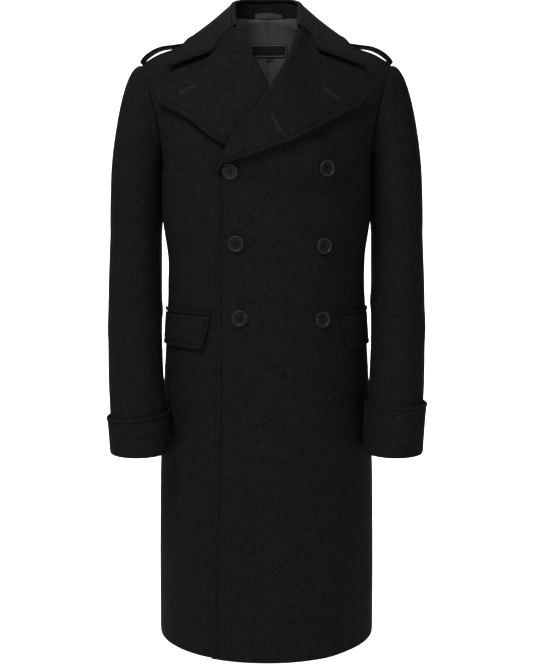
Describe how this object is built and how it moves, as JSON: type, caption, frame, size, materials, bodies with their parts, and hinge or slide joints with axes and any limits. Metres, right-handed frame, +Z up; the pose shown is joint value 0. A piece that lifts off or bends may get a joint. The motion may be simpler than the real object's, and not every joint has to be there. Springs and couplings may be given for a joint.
{
  "type": "double-breasted overcoat",
  "caption": "Heavy black wool greatcoat in its worn form, empty: wide pointed lapels, broad collar, double row of buttons, flap pockets, shoulder straps and turned-back cuffs.",
  "frame": {"origin": "on the middle line between the shoulders, at the height where the collar sits on them: where a wearer or a hanger holds the coat", "axes": "+Z up from hem to collar, the front faces -Y, the wearer's left is +X"},
  "size_m": [0.5498, 0.3577, 1.1152],
  "materials": {
    "black_wool": "matte felted nap",
    "grey_lining": "smooth twill lining",
    "satin_tape": "satin",
    "dark_button": "polished rim, matte dish"
  },
  "bodies": {
    "root": {"front_left": "black_wool", "front_right": "black_wool", "back_left": "black_wool", "back_right": "black_wool", "lapel_left": "black_wool", "lapel_right": "black_wool", "top_sleeve_left": "black_wool", "top_sleeve_right": "black_wool", "under_sleeve_left": "black_wool", "under_sleeve_right": "black_wool", "cuff_left": "black_wool", "cuff_right": "black_wool", "epaulette_left": "black_wool", "epaulette_right": "black_wool", "pocket_jet_left": "black_wool", "pocket_jet_right": "black_wool", "pocket_flap_left": "black_wool", "pocket_flap_right": "black_wool", "collar_fall": "black_wool", "collar_stand": "black_wool", "lining_left": "grey_lining", "lining_right": "grey_lining", "hanger_loop": "satin_tape", "neck_label": "satin_tape", "size_tab": "satin_tape", "button_1": "dark_button", "button_2": "dark_button", "button_3": "dark_button", "button_4": "dark_button", "button_5": "dark_button", "button_6": "dark_button"}
  },
  "joints": []
}
